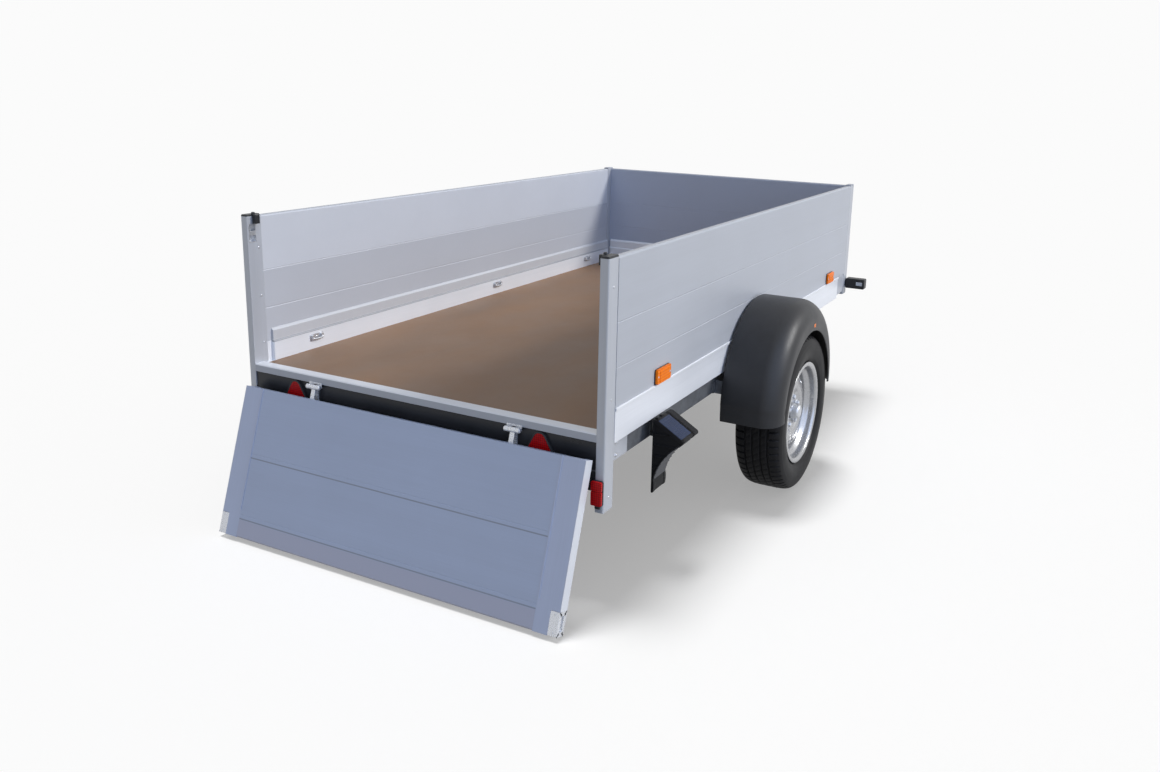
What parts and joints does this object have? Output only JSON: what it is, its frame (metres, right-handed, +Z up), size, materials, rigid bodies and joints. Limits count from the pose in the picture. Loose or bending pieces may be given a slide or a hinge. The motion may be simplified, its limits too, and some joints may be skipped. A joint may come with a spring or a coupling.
{
  "type": "utility trailer",
  "caption": "Box trailer on one braked axle, with aluminium walls, plywood floor, drop-down tailgate, V drawbar, ball coupling and jockey wheel.",
  "frame": {"origin": "on the ground, half way between the open tailgate foot and the coupling nose, on the centreline", "axes": "+X forward to the coupling, +Y to the left side, +Z up"},
  "size_m": [3.997, 1.814, 1.053],
  "materials": {
    "board": "satin anodised",
    "extrusion": "bright anodised",
    "galvanised": "hot-dip galvanised",
    "black_steel": "satin black",
    "zinc": "zinc plated",
    "plywood": "film faced",
    "black_plastic": "fine grain",
    "red_lens": "moulded lens",
    "amber_lens": "moulded lens",
    "white_lens": "moulded lens",
    "tyre": "rubber",
    "rim": "silver",
    "drum": "raw casting",
    "rubber": "moulded"
  },
  "bodies": {
    "root": {"axle_beam": "galvanised", "axle_saddles": "galvanised", "brake_rod": "zinc", "chock_holders": "zinc", "chocks": "black_plastic", "coupling_handle": "black_plastic", "coupling_head": "black_steel", "cross_members": "galvanised", "drawbar_arms": "galvanised", "floor_panel": "plywood", "front_lamps": "black_plastic", "front_lenses": "white_lens", "front_posts": "extrusion", "front_sill": "extrusion", "front_wall": "board", "gaiter": "rubber", "gate_stops": "rubber", "handbrake": "zinc", "hinge_brackets": "zinc", "jockey_clamp": "galvanised", "jockey_tube": "zinc", "lamp_carriers": "black_plastic", "lashing_eyes": "zinc", "latch_keepers": "zinc", "mudguard_left": "black_plastic", "mudguard_right": "black_plastic", "mudguard_straps": "galvanised", "overrun_housing": "galvanised", "post_caps": "black_plastic", "rear_cross_member": "black_steel", "rear_edge_profile": "extrusion", "rear_posts": "extrusion", "rear_reflectors": "red_lens", "side_markers": "amber_lens", "side_rails": "galvanised", "side_wall_left": "board", "side_wall_right": "board", "sill_corners": "board", "sills": "extrusion", "skirts": "extrusion", "swing_arms": "black_steel", "tail_lamps": "red_lens"},
    "tailgate": {"tailgate_panel": "board", "tailgate_ends": "extrusion", "tailgate_latches": "zinc", "hinge_leaves": "zinc"},
    "wheel_left": {"tyre_left": "tyre", "rim_left": "rim", "hub_left": "drum"},
    "wheel_right": {"tyre_right": "tyre", "rim_right": "rim", "hub_right": "drum"},
    "jockey_leg": {"jockey_leg": "zinc"},
    "jockey_fork": {"jockey_fork": "zinc"},
    "jockey_wheel": {"jockey_wheel": "tyre"}
  },
  "joints": [
    {"name": "wheel_left_spin", "type": "hinge", "parent": "root", "child": "wheel_left", "pos_m": [-0.58646, 0.807, 0.298], "axis": [0, 1, 0], "continuous": true},
    {"name": "wheel_right_spin", "type": "hinge", "parent": "root", "child": "wheel_right", "pos_m": [-0.58646, -0.807, 0.298], "axis": [0, 1, 0], "continuous": true},
    {"name": "tailgate_hinge", "type": "hinge", "parent": "root", "child": "tailgate", "pos_m": [-1.81446, 0, 0.512], "axis": [0, 1, 0], "range_deg": [0, 162]},
    {"name": "jockey_lift", "type": "slide", "parent": "root", "child": "jockey_leg", "axis": [0, 0, 1], "range_m": [0, 0.115]},
    {"name": "jockey_swivel", "type": "hinge", "parent": "jockey_leg", "child": "jockey_fork", "pos_m": [1.24854, 0.20417, 0.2], "axis": [0, 0, 1], "continuous": true},
    {"name": "jockey_wheel_spin", "type": "hinge", "parent": "jockey_fork", "child": "jockey_wheel", "pos_m": [1.20654, 0.20417, 0.1], "axis": [0, 1, 0], "continuous": true}
  ]
}
